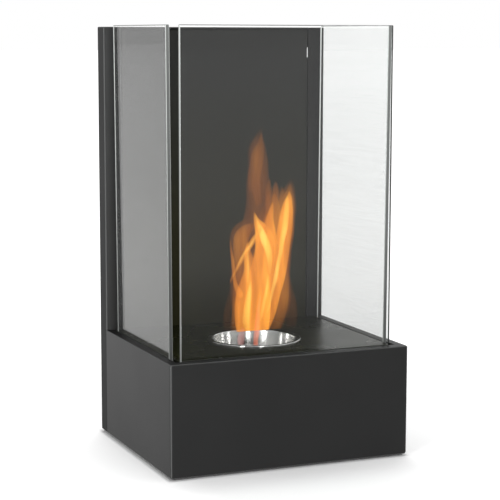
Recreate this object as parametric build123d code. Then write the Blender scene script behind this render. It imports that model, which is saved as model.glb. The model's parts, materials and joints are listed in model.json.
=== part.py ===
from build123d import *

import os
from math import cos, radians, sin, sqrt, tan

# A free-standing bioethanol fireplace: a sheet-steel base with a flush hearth, a shallow back that
# reaches the floor, three glass panes that stand in a slot round the hearth, and a lift-out burner.
# Millimetres. X runs across, Y from the front to the rear, Z up from the surface it stands on.
# The origin is at the bottom centre of the whole object's box.

# ---- overall sizes
body_width = 260.0
base_depth = 202.0
base_height = 115.5
back_depth = 21.5
back_height = 440.5
glass_above_back = 1.5

# ---- sheet metal
base_sheet = 1.5
back_sheet = 1.5
hearth_sheet = 2.0
floor_sheet = 1.2
channel_sheet = 1.0
rail_sheet = 1.5
bend_radius = 2.5
top_edge_radius = 1.3
plate_edge_radius = 0.5

# ---- base
rim_side = 9.6
rim_front = 11.6
bottom_flange = 28.0
rear_flange = 23.0
rear_flange_gap = 3.0
floor_side_gap = 3.0
floor_rear_gap = 1.0
floor_screw_edge = 18.0

# ---- feet
foot_thickness = 1.5
foot_diameter = 13.0
foot_inset = 18.0

# ---- glass
glass_thickness = 4.0
glass_insert = 12.0
glass_clearance = 0.4
glass_edge_radius = 0.8
glass_side_lean = 0.35
front_glass_side_gap = 1.1
side_glass_front_gap = 15.0
side_glass_rear_gap = 9.0
seat_thickness = 2.0
seat_clearance = 0.1

# ---- hearth
hearth_rear_gap = 0.5
rail_width = 43.0
rail_drop = 20.0
rail_end_gap = 6.0
stud_from_rail_edge = 14.5
stud_from_middle = 62.0

# ---- burner
cup_diameter = 91.0
cup_taper = 8.0
cup_wall = 1.0
cup_depth = 62.0
cup_bottom_radius = 6.0
cup_rim_width = 3.5
cup_rim_thickness = 1.0
cup_rim_radius = 0.6
cup_mouth_radius = 1.2
cup_hole_clearance = 0.75
screen_depth = 16.0
screen_thickness = 0.8
screen_clearance = 0.3
screen_hole_diameter = 3.2
screen_pitch = 7.0
screen_margin = 3.2
wool_clearance = 0.3

# ---- back
back_side_flange = 22.5
back_groove = 1.4
back_bottom_flange = 30.0
panel_sheet = 1.5
panel_return = 8.0
panel_corner_radius = 3.5
panel_below_hearth = 17.0
keyhole_from_side = 13.3
keyhole_from_top = 29.3
keyhole_head_diameter = 8.0
keyhole_slot_width = 4.6
keyhole_drop = 5.0

# ---- fasteners
m4 = 4.0
m5 = 5.0
thread_fit = 0.05
m4_hole = 4.5
m5_hole = 5.5
m4_head_diameter = 8.0
m4_head_height = 2.2
m4_head_radius = 1.1
m4_socket_across_flats = 2.5
m4_socket_depth = 1.3
m5_head_diameter = 9.5
m5_head_height = 2.75
m5_head_radius = 0.9
m5_nut_across_flats = 8.0
m5_nut_height = 4.7
m5_nut_flange = 11.0
m5_nut_flange_height = 1.0
standoff_diameter = 8.0
standoff_thread = 12.0
standoff_from_edge = 21.5
panel_screw_length = 10.0
floor_screw_head_height = 1.0
floor_screw_length = 7.5
back_bolt_length = 10.0
back_bolt_from_side = 13.0
back_bolt_from_bottom = 32.5
back_bolt_from_flange_top = 24.0
stud_past_nut = 2.0

# how far a cutter runs past the face that it opens
past = 1.0

# ---- places worked out from the sizes
half_width = body_width / 2
whole_depth = base_depth + back_depth + m4_head_height
front = -whole_depth / 2
joint_plane = front + base_depth
rear = joint_plane + back_depth
shell_bottom = foot_thickness
base_middle = front + base_depth / 2

glass_top = back_height + glass_above_back
slot_width = glass_thickness + 2 * glass_clearance
slot_bottom = base_height - glass_insert - seat_clearance - seat_thickness
channel_bottom = slot_bottom - channel_sheet
rail_bottom = channel_bottom - rail_sheet
rim_underside = base_height - base_sheet
hearth_underside = base_height - hearth_sheet
rear_flange_top = rail_bottom - rear_flange_gap
side_slot_outer = half_width - rim_side
side_slot_inner = side_slot_outer - slot_width
front_slot_outer = front + rim_front
front_slot_inner = front_slot_outer + slot_width
glass_bottom = base_height - glass_insert
back_flange_inner = half_width - back_side_flange
back_bottom_top = shell_bottom + back_bottom_flange
panel_half_width = back_flange_inner - back_groove
panel_top = back_height - back_sheet - back_groove
panel_bottom = base_height - panel_below_hearth
burner_axis = Pos(0, base_middle, 0)
cup_top = base_height + cup_rim_thickness
cup_bottom = cup_top - cup_depth
cup_floor = cup_bottom + cup_wall
screen_top = cup_top - screen_depth
screen_bottom = screen_top - screen_thickness


def block(x0, x1, y0, y1, z0, z1):
    """A box between two corners."""
    middle = Pos((x0 + x1) / 2, (y0 + y1) / 2, (z0 + z1) / 2)
    return middle * Box(x1 - x0, y1 - y0, z1 - z0)


def upright(x, y, z0, z1, diameter):
    """A cylinder that stands on z0 and ends at z1."""
    return Pos(x, y, (z0 + z1) / 2) * Cylinder(diameter / 2, z1 - z0)


def lying(x, z, y0, y1, diameter):
    """A cylinder along Y, from y0 to y1."""
    return Pos(x, (y0 + y1) / 2, z) * Rot(90, 0, 0) * Cylinder(diameter / 2, y1 - y0)


def turned(z0, z1, radius_at):
    """A solid turned about Z between two heights. Its radius follows the height."""
    outline = Polyline((0, 0, z0), (radius_at(z0), 0, z0), (radius_at(z1), 0, z1), (0, 0, z1), close=True)
    return revolve(make_face(outline), Axis.Z)


def mirrored(shape):
    """The same piece on the other side of the middle plane."""
    return mirror(shape, about=Plane.YZ)


def both_sides(x, places):
    """(x, place) for each place, on the left and on the right."""
    return [(side * x, place) for side in (-1, 1) for place in places]


def hexagon(across_flats):
    """A hexagon, as on nuts and key sockets."""
    return RegularPolygon(across_flats / sqrt(3), 6)


def edges_along(shape, axis, *planes):
    """The straight edges along an axis that lie on all the given planes."""
    found = shape.edges().filter_by(axis)
    for normal, position in planes:
        found = found.filter_by_position(normal, position - 0.01, position + 0.01)
    return found


# ---- base

def base_blank(inset, radius, top, rear_end):
    """The base's outline, drawn in by inset, with its upright front bends and its bottom bends."""
    side = half_width - inset
    low = shell_bottom + inset
    near = front + inset
    blank = block(-side, side, near, rear_end, low, top)
    bends = edges_along(blank, Axis.Z, (Axis.Y, near))
    bends += edges_along(blank, Axis.X, (Axis.Z, low), (Axis.Y, near))
    bends += edges_along(blank, Axis.Y, (Axis.Z, low))
    return fillet(bends, radius)


def base_shell():
    """Front and side walls in one bent sheet, with the rim, the bottom flange and two rear flanges."""
    outer = base_blank(0, bend_radius, base_height, joint_plane)
    rim_edges = outer.edges().group_by(Axis.Z)[-1].filter_by(lambda e: e.center().Y < joint_plane - past)
    outer = fillet(rim_edges, top_edge_radius)
    shell = outer - base_blank(base_sheet, bend_radius - base_sheet, rim_underside, joint_plane + past)
    shell -= block(
        -side_slot_outer,
        side_slot_outer,
        front_slot_outer,
        joint_plane + past,
        rim_underside - past,
        base_height + past,
    )
    inside = half_width - bottom_flange
    floor_level = shell_bottom + base_sheet
    shell -= block(
        -inside, inside, front + bottom_flange, joint_plane + past, shell_bottom - past, floor_level + past
    )
    wall = half_width - base_sheet
    flange = block(
        wall - rear_flange, wall, joint_plane - base_sheet, joint_plane, floor_level, rear_flange_top
    )
    shell += flange
    shell += mirrored(flange)
    for x, z in back_bolt_places():
        shell -= lying(x, z, joint_plane - base_sheet - past, joint_plane + past, m5_hole)
    for x, y in floor_screw_places():
        shell -= upright(x, y, shell_bottom - past, floor_level + past, m4_hole)
    return shell


def back_bolt_places():
    """Two bolts up each rear flange, given in X and Z."""
    low = shell_bottom + back_bolt_from_bottom
    high = rear_flange_top - back_bolt_from_flange_top
    return both_sides(half_width - back_bolt_from_side, (low, high))


def floor_screw_places():
    """Three screws down each side, clear of the feet."""
    near = front + foot_inset + 2 * foot_diameter
    far = joint_plane - floor_screw_edge
    return both_sides(half_width - floor_screw_edge, (near, (near + far) / 2, far))


def base_floor():
    """The cover that closes the base from below. It lies on the bottom flange."""
    side = half_width - base_sheet - floor_side_gap
    low = shell_bottom + base_sheet
    near = front + base_sheet + floor_side_gap
    far = joint_plane - base_sheet - floor_rear_gap
    plate = block(-side, side, near, far, low, low + floor_sheet)
    for x, y in floor_screw_places():
        plate -= upright(x, y, low - past, low + floor_sheet + past, m4)
    return plate


def base_floor_screws():
    """Low-head screws, driven up through the flange into the cover."""
    screws = []
    for x, y in floor_screw_places():
        head = upright(x, y, shell_bottom - floor_screw_head_height, shell_bottom, m4_head_diameter)
        shank = upright(x, y, shell_bottom, shell_bottom + floor_screw_length, m4 - 2 * thread_fit)
        screws.append(head + shank)
    return screws


def feet():
    """Four thin rubber pads: two under the base's flange, two under the back."""
    x = half_width - foot_inset
    front_y = front + foot_inset
    rear_y = joint_plane + back_depth / 2
    return {
        "foot_front_left": upright(-x, front_y, 0, foot_thickness, foot_diameter),
        "foot_front_right": upright(x, front_y, 0, foot_thickness, foot_diameter),
        "foot_rear_left": upright(-x, rear_y, 0, foot_thickness, foot_diameter),
        "foot_rear_right": upright(x, rear_y, 0, foot_thickness, foot_diameter),
    }


# ---- hearth

def hearth_rail_right():
    """An angle along the side wall. Its shelf carries the channels, and the studs pass through it."""
    wall = half_width - base_sheet
    near = front + base_sheet + rail_end_gap
    far = joint_plane - base_sheet - rail_end_gap
    shelf = block(wall - rail_width, wall, near, far, rail_bottom, channel_bottom)
    leg = block(wall - rail_sheet, wall, near, far, rail_bottom - rail_drop, rail_bottom)
    rail = shelf + leg
    for x, y in stud_places():
        rail -= upright(x, y, rail_bottom - past, channel_bottom + past, m5_hole)
    return rail


def stud_places():
    """The four studs, given in X and Y."""
    x = half_width - base_sheet - rail_width + stud_from_rail_edge
    return both_sides(x, (base_middle - stud_from_middle, base_middle + stud_from_middle))


def hearth_plate():
    """The flush top plate. Its edge is the inner wall of the glass slot."""
    far = joint_plane - hearth_rear_gap
    plate = block(-side_slot_inner, side_slot_inner, front_slot_inner, far, hearth_underside, base_height)
    plate = fillet(plate.edges().group_by(Axis.Z)[-1], plate_edge_radius)
    hole_diameter = cup_diameter + 2 * cup_hole_clearance
    return plate - burner_axis * upright(0, 0, hearth_underside - past, base_height + past, hole_diameter)


def hearth_studs():
    """Studs welded under the hearth plate."""
    low = rail_bottom - m5_nut_height - stud_past_nut
    return [upright(x, y, low, hearth_underside, m5) for x, y in stud_places()]


def hearth_nuts():
    """Flange nuts under the rails. They draw the hearth plate down onto the channels."""
    low = rail_bottom - m5_nut_height
    nuts = []
    for x, y in stud_places():
        flange = upright(x, y, rail_bottom - m5_nut_flange_height, rail_bottom, m5_nut_flange)
        body = Pos(x, y, low) * extrude(hexagon(m5_nut_across_flats), m5_nut_height)
        bore = upright(x, y, low - past, rail_bottom + past, m5 + 2 * thread_fit)
        nuts.append(flange + body - bore)
    return nuts


def glass_channel_front():
    """Runs the whole width under the front slot, with closed ends."""
    end = side_slot_outer
    y0 = front_slot_outer
    y1 = front_slot_inner
    wall = channel_sheet
    trough = block(-end - wall, end + wall, y0 - wall, y1 + wall, channel_bottom, rim_underside)
    trough -= block(-end, end, y0, y1, slot_bottom, rim_underside + past)
    over_inner_wall = block(
        -end, end, y1 - wall, y1 + wall + past, hearth_underside, rim_underside + past
    )
    return trough - over_inner_wall


def glass_channel_right():
    """Runs from the front channel to the back under the side slot."""
    x0 = side_slot_inner
    x1 = side_slot_outer
    y0 = front_slot_inner + channel_sheet
    y1 = joint_plane - hearth_rear_gap
    wall = channel_sheet
    trough = block(x0 - wall, x1 + wall, y0, y1, channel_bottom, rim_underside)
    trough -= block(x0, x1, y0 - past, y1 + past, slot_bottom, rim_underside + past)
    over_inner_wall = block(
        x0 - wall - past, x0 + wall, y0 - past, y1 + past, hearth_underside, rim_underside + past
    )
    return trough - over_inner_wall


def glass_seat_front():
    """The rubber strip under the front pane."""
    side = side_slot_inner - front_glass_side_gap
    y0 = front_slot_outer + seat_clearance
    y1 = front_slot_inner - seat_clearance
    return block(-side, side, y0, y1, slot_bottom, slot_bottom + seat_thickness)


def glass_seat_right():
    """The rubber strip under the right pane."""
    x0 = side_slot_inner + seat_clearance
    x1 = side_slot_outer - seat_clearance
    return block(x0, x1, side_glass_start(), side_glass_end(), slot_bottom, slot_bottom + seat_thickness)


# ---- glass

def side_glass_start():
    """The side panes begin behind the front pane, with an air gap between."""
    return front_slot_outer + glass_clearance + glass_thickness + side_glass_front_gap


def side_glass_end():
    """The side panes end just in front of the back."""
    return joint_plane - side_glass_rear_gap


def ground(pane):
    """Breaks a pane's edges, as grinding does."""
    return fillet(pane.edges(), glass_edge_radius)


def glass_front():
    """The front pane, upright in the front slot."""
    side = side_slot_inner - front_glass_side_gap
    y0 = front_slot_outer + glass_clearance
    return ground(block(-side, side, y0, y0 + glass_thickness, glass_bottom, glass_top))


def glass_right():
    """The right pane. It leans outwards in its slot, turned about its lower outer edge."""
    lean = radians(glass_side_lean)
    tall = (glass_top - glass_bottom - glass_thickness * sin(lean)) / cos(lean)
    pane = ground(block(-glass_thickness, 0, side_glass_start(), side_glass_end(), 0, tall))
    shift_in_slot = glass_insert * sin(lean)
    foot_x = side_slot_outer - glass_clearance - shift_in_slot / 2
    return Pos(foot_x, 0, glass_bottom) * Rot(0, glass_side_lean, 0) * pane


# ---- burner

def cup_radius(z):
    """The tapered cup's outer radius at a height."""
    return cup_diameter / 2 - (cup_top - z) * tan(radians(cup_taper))


def bore_radius(z):
    """The tapered cup's inner radius at a height."""
    return cup_radius(z) - cup_wall / cos(radians(cup_taper))


def wool_radius(z):
    """The wool's radius at a height. It follows the cup's bore."""
    return bore_radius(z) - wool_clearance


def burner_cup():
    """A drawn, tapered cup with a flat turned-out rim that lies on the hearth plate."""
    outer = turned(cup_bottom, cup_top, cup_radius)
    outer = fillet(outer.edges().group_by(Axis.Z)[0], cup_bottom_radius)
    rim = upright(0, 0, base_height, cup_top, cup_diameter + 2 * cup_rim_width)
    rim = fillet(rim.edges().group_by(Axis.Z)[-1], cup_rim_radius)
    bore = turned(cup_floor, cup_top + past, bore_radius)
    bore = fillet(bore.edges().group_by(Axis.Z)[0], cup_bottom_radius - cup_wall)
    cup = outer + rim - bore
    mouth = cup.edges().group_by(Axis.Z)[-1].sort_by(SortBy.RADIUS)[0]
    return burner_axis * fillet(mouth, cup_mouth_radius)


def burner_wool():
    """The ceramic wool that fills the cup below the screen."""
    pad = turned(cup_floor, screen_bottom, wool_radius)
    return burner_axis * fillet(pad.edges().group_by(Axis.Z)[0], cup_bottom_radius)


def burner_screen():
    """A perforated disc over the wool, with holes in a triangular pattern."""
    radius = bore_radius(screen_bottom) - screen_clearance
    disc = upright(0, 0, screen_bottom, screen_top, 2 * radius)
    row_step = screen_pitch * sqrt(3) / 2
    reach = radius - screen_margin
    rows = int(reach / row_step)
    columns = int(reach / screen_pitch) + 1
    holes = []
    for row in range(-rows, rows + 1):
        for column in range(-columns, columns + 1):
            x = (column + (row % 2) / 2) * screen_pitch
            y = row * row_step
            if x * x + y * y <= reach * reach:
                holes.append(upright(x, y, screen_bottom - past, screen_top + past, screen_hole_diameter))
    return burner_axis * (disc - holes)


# ---- back

def back_blank(inset, radius):
    """The back's outline, drawn in by inset, with its upright and bottom bends."""
    side = half_width - inset
    near = joint_plane + inset
    far = rear - inset
    low = shell_bottom + inset
    top = back_height - inset
    blank = block(-side, side, near, far, low, top)
    return fillet(blank.edges().filter_by(Axis.Z) + blank.edges().group_by(Axis.Z)[0], radius)


def keyhole(x):
    """The cutter for a wall-fixing keyhole: a head hole with a narrow slot above it."""
    z = back_height - keyhole_from_top
    y0 = rear - back_sheet - past
    y1 = rear + past
    half_slot = keyhole_slot_width / 2
    head = lying(x, z, y0, y1, keyhole_head_diameter)
    slot = block(x - half_slot, x + half_slot, y0, y1, z, z + keyhole_drop)
    slot_end = lying(x, z + keyhole_drop, y0, y1, keyhole_slot_width)
    return head + slot + slot_end


def back_pan():
    """The whole back before it is parted at its welded seams: rear wall, sides, ends and flanges."""
    outer = back_blank(0, bend_radius)
    outer = fillet(outer.edges().group_by(Axis.Z)[-1], top_edge_radius)
    pan = outer - back_blank(back_sheet, bend_radius - back_sheet)
    pan -= block(
        -back_flange_inner,
        back_flange_inner,
        joint_plane - past,
        joint_plane + back_sheet + past,
        back_bottom_top,
        back_height - back_sheet,
    )
    pan -= keyhole(half_width - keyhole_from_side)
    pan -= keyhole(keyhole_from_side - half_width)
    for x, z in back_bolt_places():
        pan -= lying(x, z, joint_plane - past, joint_plane + back_sheet + past, m5_hole)
    for x, z in standoff_places():
        pan -= lying(x, z, rear - back_sheet - past, rear + past, m4_hole)
    return pan


def back_rear_wall(pan):
    """The rear sheet, with the keyholes and the holes for the stand-off screws."""
    return pan & block(-half_width, half_width, rear - back_sheet, rear, shell_bottom, back_height)


def back_side_right(pan):
    """A folded post: the side wall with its front flange and its closed ends."""
    return pan & block(
        back_flange_inner, half_width, joint_plane, rear - back_sheet, shell_bottom, back_height
    )


def back_top(pan):
    """The strip that closes the back at the top, between the posts."""
    side = back_flange_inner
    return pan & block(-side, side, joint_plane, rear - back_sheet, back_height - back_sheet, back_height)


def back_bottom(pan):
    """The folded strip at the foot of the back, between the posts."""
    side = back_flange_inner
    return pan & block(-side, side, joint_plane, rear - back_sheet, shell_bottom, back_bottom_top)


def standoff_places():
    """Two columns of three stand-offs behind the face plate, given in X and Z."""
    low = panel_bottom + standoff_from_edge
    high = panel_top - standoff_from_edge
    return both_sides(panel_half_width - standoff_from_edge, (low, (low + high) / 2, high))


def back_panel():
    """The face plate: a shallow tray, flush with the flanges, with rounded top corners."""
    side = panel_half_width
    depth = joint_plane + panel_return
    tray = block(-side, side, joint_plane, depth, panel_bottom, panel_top)
    tray = fillet(edges_along(tray, Axis.Y, (Axis.Z, panel_top)), panel_corner_radius)
    side -= panel_sheet
    top = panel_top - panel_sheet
    hollow = block(-side, side, joint_plane + panel_sheet, depth + past, panel_bottom - past, top)
    hollow = fillet(edges_along(hollow, Axis.Y, (Axis.Z, top)), panel_corner_radius - panel_sheet)
    return tray - hollow


def back_panel_standoffs():
    """Threaded stand-offs, pressed into the face plate and seated on the rear wall."""
    y0 = joint_plane + panel_sheet
    y1 = rear - back_sheet
    pieces = []
    for x, z in standoff_places():
        post = lying(x, z, y0, y1, standoff_diameter)
        pieces.append(post - lying(x, z, y1 - standoff_thread, y1 + past, m4))
    return pieces


def back_panel_screws():
    """Button-head screws through the rear wall into the stand-offs."""
    face = rear + m4_head_height
    screws = []
    for x, z in standoff_places():
        head = lying(x, z, rear, face, m4_head_diameter)
        head = fillet(head.edges().group_by(Axis.Y)[-1], m4_head_radius)
        socket = Pos(x, face, z) * Rot(90, 0, 0) * extrude(hexagon(m4_socket_across_flats), m4_socket_depth)
        shank = lying(x, z, rear - panel_screw_length, rear, m4 - 2 * thread_fit)
        screws.append(head - socket + shank)
    return screws


def back_bolts():
    """Bolts through the base's rear flanges and the back's front flanges."""
    face = joint_plane - base_sheet
    bolts = []
    for x, z in back_bolt_places():
        head = lying(x, z, face - m5_head_height, face, m5_head_diameter)
        head = fillet(head.edges().group_by(Axis.Y)[0], m5_head_radius)
        bolts.append(head + lying(x, z, face, face + back_bolt_length, m5 - 2 * thread_fit))
    return bolts


def back_weld_nuts():
    """Hexagon nuts welded inside the back's front flanges."""
    y0 = joint_plane + back_sheet
    y1 = y0 + m5_nut_height
    nuts = []
    for x, z in back_bolt_places():
        body = Pos(x, y1, z) * Rot(90, 0, 0) * extrude(hexagon(m5_nut_across_flats), m5_nut_height)
        nuts.append(body - lying(x, z, y0 - past, y1 + past, m5))
    return nuts


# ---- write every piece

def pieces():
    """Node name to its solid, or to a list of like solids."""
    pan = back_pan()
    made = {
        "base_shell": base_shell(),
        "base_floor": base_floor(),
        "base_floor_screws": base_floor_screws(),
        "hearth_plate": hearth_plate(),
        "hearth_studs": hearth_studs(),
        "hearth_nuts": hearth_nuts(),
        "glass_channel_front": glass_channel_front(),
        "glass_seat_front": glass_seat_front(),
        "glass_front": glass_front(),
        "burner_cup": burner_cup(),
        "burner_wool": burner_wool(),
        "burner_screen": burner_screen(),
        "back_rear_wall": back_rear_wall(pan),
        "back_top": back_top(pan),
        "back_bottom": back_bottom(pan),
        "back_panel": back_panel(),
        "back_panel_standoffs": back_panel_standoffs(),
        "back_panel_screws": back_panel_screws(),
        "back_bolts": back_bolts(),
        "back_weld_nuts": back_weld_nuts(),
    }
    made.update(feet())
    paired = {
        "hearth_rail": hearth_rail_right(),
        "glass_channel": glass_channel_right(),
        "glass_seat": glass_seat_right(),
        "glass": glass_right(),
        "back_side": back_side_right(pan),
    }
    for name, right in paired.items():
        made[name + "_right"] = right
        made[name + "_left"] = mirrored(right)
    return made


os.makedirs("parts", exist_ok=True)
for node, shape in pieces().items():
    solids = shape if isinstance(shape, list) else [shape]
    body = Compound(label=node, children=[s for piece in solids for s in piece.solids()])
    export_step(body, os.path.join("parts", node + ".step"))
    box = body.bounding_box()
    print(f"{node:22} {len(body.solids())} solids, z {box.min.Z:.2f} to {box.max.Z:.2f}")
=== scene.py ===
# %% [markdown]
# # A bioethanol fireplace, dressed for its photograph
# The metalwork, the panes and the burner come ready-made from the CAD model. This lesson gives
# them their finishes, adds the flame and the fibre wool, and sets up the studio. Nothing of the
# CAD is moved or reshaped here, so every piece stays where it was designed.

# %% load the frame
import json
import math

import bpy
from mathutils import Matrix, Vector


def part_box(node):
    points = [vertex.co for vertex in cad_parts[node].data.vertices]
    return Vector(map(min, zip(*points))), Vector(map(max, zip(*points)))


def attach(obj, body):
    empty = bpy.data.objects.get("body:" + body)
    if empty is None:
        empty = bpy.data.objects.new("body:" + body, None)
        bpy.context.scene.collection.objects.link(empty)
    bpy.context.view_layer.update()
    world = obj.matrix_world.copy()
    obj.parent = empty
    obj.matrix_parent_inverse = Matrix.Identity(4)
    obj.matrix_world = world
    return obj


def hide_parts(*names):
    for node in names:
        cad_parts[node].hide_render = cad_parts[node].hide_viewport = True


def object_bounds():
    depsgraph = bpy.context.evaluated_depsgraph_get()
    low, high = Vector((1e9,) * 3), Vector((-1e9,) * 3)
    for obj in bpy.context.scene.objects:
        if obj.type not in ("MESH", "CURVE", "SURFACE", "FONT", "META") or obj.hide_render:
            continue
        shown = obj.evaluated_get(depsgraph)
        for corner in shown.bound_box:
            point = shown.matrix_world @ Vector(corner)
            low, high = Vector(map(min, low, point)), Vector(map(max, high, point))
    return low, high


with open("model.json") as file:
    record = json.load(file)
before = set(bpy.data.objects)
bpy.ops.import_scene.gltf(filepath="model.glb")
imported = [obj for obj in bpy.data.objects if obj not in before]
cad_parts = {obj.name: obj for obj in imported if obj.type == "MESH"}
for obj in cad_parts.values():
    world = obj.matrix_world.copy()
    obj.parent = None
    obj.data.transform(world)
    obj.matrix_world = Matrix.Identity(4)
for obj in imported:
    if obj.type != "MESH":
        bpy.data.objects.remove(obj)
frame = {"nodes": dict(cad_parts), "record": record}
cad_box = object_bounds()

nodes = frame["nodes"]
slot_of = {part["node"]: part["material_slot"] for part in frame["record"]["subparts"]}
print(len(nodes), "pieces from the CAD model, box", cad_box)

# %% [markdown]
# ## Camera
# The photograph was taken from the left, a little above the hearth, with a long lens. The
# camera's heading, tilt and roll are set as angles, and its axes are worked out from them, which
# keeps the three numbers readable. A long lens far away keeps the uprights nearly parallel.

# %% camera
camera_place = Vector((-0.649123, -1.543723, 0.432600))
camera_heading = 0.3985
camera_tilt = 0.1336
camera_roll = 0.0016
sensor_width = 36.0
lens_length = 115.4446


def camera_matrix(place, heading, tilt, roll):
    """The camera's matrix from its place and three angles in radians."""
    ahead = Vector((
        math.sin(heading) * math.cos(tilt),
        math.cos(heading) * math.cos(tilt),
        -math.sin(tilt),
    ))
    right = Vector((math.cos(heading), -math.sin(heading), 0.0))
    up = right.cross(ahead)
    turned_right = right * math.cos(roll) + up * math.sin(roll)
    turned_up = up * math.cos(roll) - right * math.sin(roll)
    turn = Matrix((turned_right, turned_up, -ahead)).transposed()
    return Matrix.Translation(place) @ turn.to_4x4()


scene = bpy.context.scene
camera_data = bpy.data.cameras.new("camera")
camera_data.lens = lens_length
camera_data.sensor_width = sensor_width
camera = bpy.data.objects.new("camera", camera_data)
camera.matrix_world = camera_matrix(camera_place, camera_heading, camera_tilt, camera_roll)
scene.collection.objects.link(camera)
scene.camera = camera
scene.view_settings.view_transform = "Standard"
print("camera", round(camera_place.length, 3), "m from the origin")

# %% [markdown]
# ## Small helpers for node trees
# Every finish below is a short node tree, and so are the flame and the wool. Most of a tree is
# the same few moves: make a node, feed its inputs from other nodes or with plain values, and pass
# its output on. These three helpers do that.


# %% helpers that make and feed nodes
def give(tree, socket, value):
    """Gives a socket its value: the output of another node, or a plain value."""
    if isinstance(value, bpy.types.NodeSocket):
        tree.links.new(value, socket)
    elif socket.type == "RGBA":
        socket.default_value = (*value, 1.0)
    else:
        socket.default_value = value


def add(tree, kind, *values, **named):
    """Adds a node. A named value goes to the socket of that name, or else to a setting of the node.
    The values without a name go to the node's sockets in their order."""
    node = tree.nodes.new(kind)
    for name, value in named.items():
        socket = node.inputs.get(name.replace("_", " "))
        if socket is not None:
            give(tree, socket, value)
        else:
            setattr(node, name, value)
    for socket, value in zip(node.inputs, values):
        give(tree, socket, value)
    return node


def feed(tree, node, **named):
    """Gives the named sockets of a node their values."""
    for name, value in named.items():
        give(tree, node.inputs[name.replace("_", " ")], value)


print("helpers: give, add, feed")


# %% [markdown]
# The next helpers each make one node of a common kind and hand back its output. With them a tree
# reads like a sum: numbers, vectors, levels that rise along a factor, and blends.


# %% helpers for arithmetic
def calc(tree, operation, *values):
    """One step of arithmetic."""
    return add(tree, "ShaderNodeMath", *values, operation=operation).outputs["Value"]


def product(tree, first, *others):
    """Everything multiplied together."""
    for other in others:
        first = calc(tree, "MULTIPLY", first, other)
    return first


def vector_calc(tree, operation, *values):
    """One step of vector arithmetic. A dot product or a length comes out as a number."""
    node = add(tree, "ShaderNodeVectorMath", *values, operation=operation)
    return node.outputs["Value" if operation in ("DOT_PRODUCT", "LENGTH") else "Vector"]


def split(tree, vector):
    """The X, Y and Z of a vector."""
    return add(tree, "ShaderNodeSeparateXYZ", vector).outputs


def grey(level):
    """A colour with the same level three times."""
    return (level, level, level)


def ramp(tree, factor, low, high, start=0.0, end=1.0):
    """A level that goes from low to high as the factor goes from start to end, and no further."""
    return add(tree, "ShaderNodeMapRange", factor, start, end, low, high).outputs["Result"]


def steps(tree, factor, levels):
    """A grey level that follows a factor through the given {factor: level} pairs."""
    low, high = min(levels), max(levels)
    node = add(tree, "ShaderNodeValToRGB", ramp(tree, factor, 0.0, 1.0, low, high))
    stops = node.color_ramp.elements
    for number, (place, level) in enumerate(sorted(levels.items())):
        stop = stops[number] if number < 2 else stops.new(1.0)
        stop.position = (place - low) / (high - low)
        stop.color = (*grey(level), 1.0)
    return node.outputs["Color"]


def blend(tree, factor, first, second, kind="RGBA"):
    """A blend of two colours, or of two numbers if kind is FLOAT."""
    node = add(tree, "ShaderNodeMix", data_type=kind, Factor=factor, A=first, B=second)
    return node.outputs["Result"]


print("helpers: calc, product, vector_calc, split, grey, ramp, steps, blend")


# %% [markdown]
# The last helpers are for materials: where a point lies, noise, a bump, and the start of a
# material's tree. Noise values crowd in the middle of their range, so a finish spreads only that
# middle. More helpers follow where they are first needed.


# %% helpers for materials
mid_noise = (0.3, 0.7)
inner_noise = (0.35, 0.65)


def coords(tree, kind="Object"):
    """The place on the piece, which moves with the piece, or another kind of texture coordinate."""
    return add(tree, "ShaderNodeTexCoord").outputs[kind]


def object_noise(tree, scale, detail=2.0, stretch=None):
    """Noise on object coordinates, so that it stays on the piece when the piece moves."""
    place = coords(tree)
    if stretch is not None:
        place = add(tree, "ShaderNodeMapping", Vector=place, Scale=stretch).outputs["Vector"]
    noise = add(tree, "ShaderNodeTexNoise", Vector=place, Scale=scale, Detail=detail)
    return noise.outputs["Fac"]


def bump(tree, height, depth):
    """A normal from a height, with its depth in metres."""
    node = add(tree, "ShaderNodeBump", Strength=1.0, Distance=depth, Height=height)
    return node.outputs["Normal"]


def start_material(name, **constants):
    """A new material with its tree and its Principled shader, on which the constants are set."""
    material = bpy.data.materials.new(name)
    material.use_nodes = True
    tree = material.node_tree
    shader = tree.nodes["Principled BSDF"]
    feed(tree, shader, **constants)
    return material, tree, shader


print("helpers: coords, object_noise, bump, start_material")


# %% [markdown]
# ## Powder coat
# The sheet metal is powder coated: a black paint that is baked on and cures with a very fine
# orange peel. What the eye reads is not the colour but the way that light rakes over the peel, so
# the finish is a near-black base, a roughness that drifts a little across the sheet, and two
# sizes of bump.
#
# Some places differ. A bend is a face whose normal lies along no axis, and the coat gets a painted
# highlight there, a lighter grey, less on level bends. The base's upward faces are more matt and
# get a painted shade, a deeper black. The face plate is darker low down, a painted shade, and
# browner there, and the front strips of the back get a painted highlight by their outer bends that
# fades to a painted shade towards the panes.


# %% powder coat
black = (0.018, 0.0182, 0.0182)
light_black = (0.023, 0.0232, 0.023)
# The deeper black below is a painted shade for the faces that look up.
painted_shade_black = grey(0.006)
# The light grey below is a painted highlight for the bends.
bend_highlight_grey = (0.11, 0.112, 0.112)
flat_share = (0.8, 0.95)  # a face turns from bend to flat as its normal nears an axis
rising_share = (0.1, 0.4)  # a bend with more than this along Z is level, and gets less painted highlight
# The share of the painted bend highlight that level bends keep.
level_bend_highlight = 0.5
drift_scale, peel_scale, grit_scale = 9.0, 1500.0, 4200.0
grit_depth = 0.4


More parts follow.
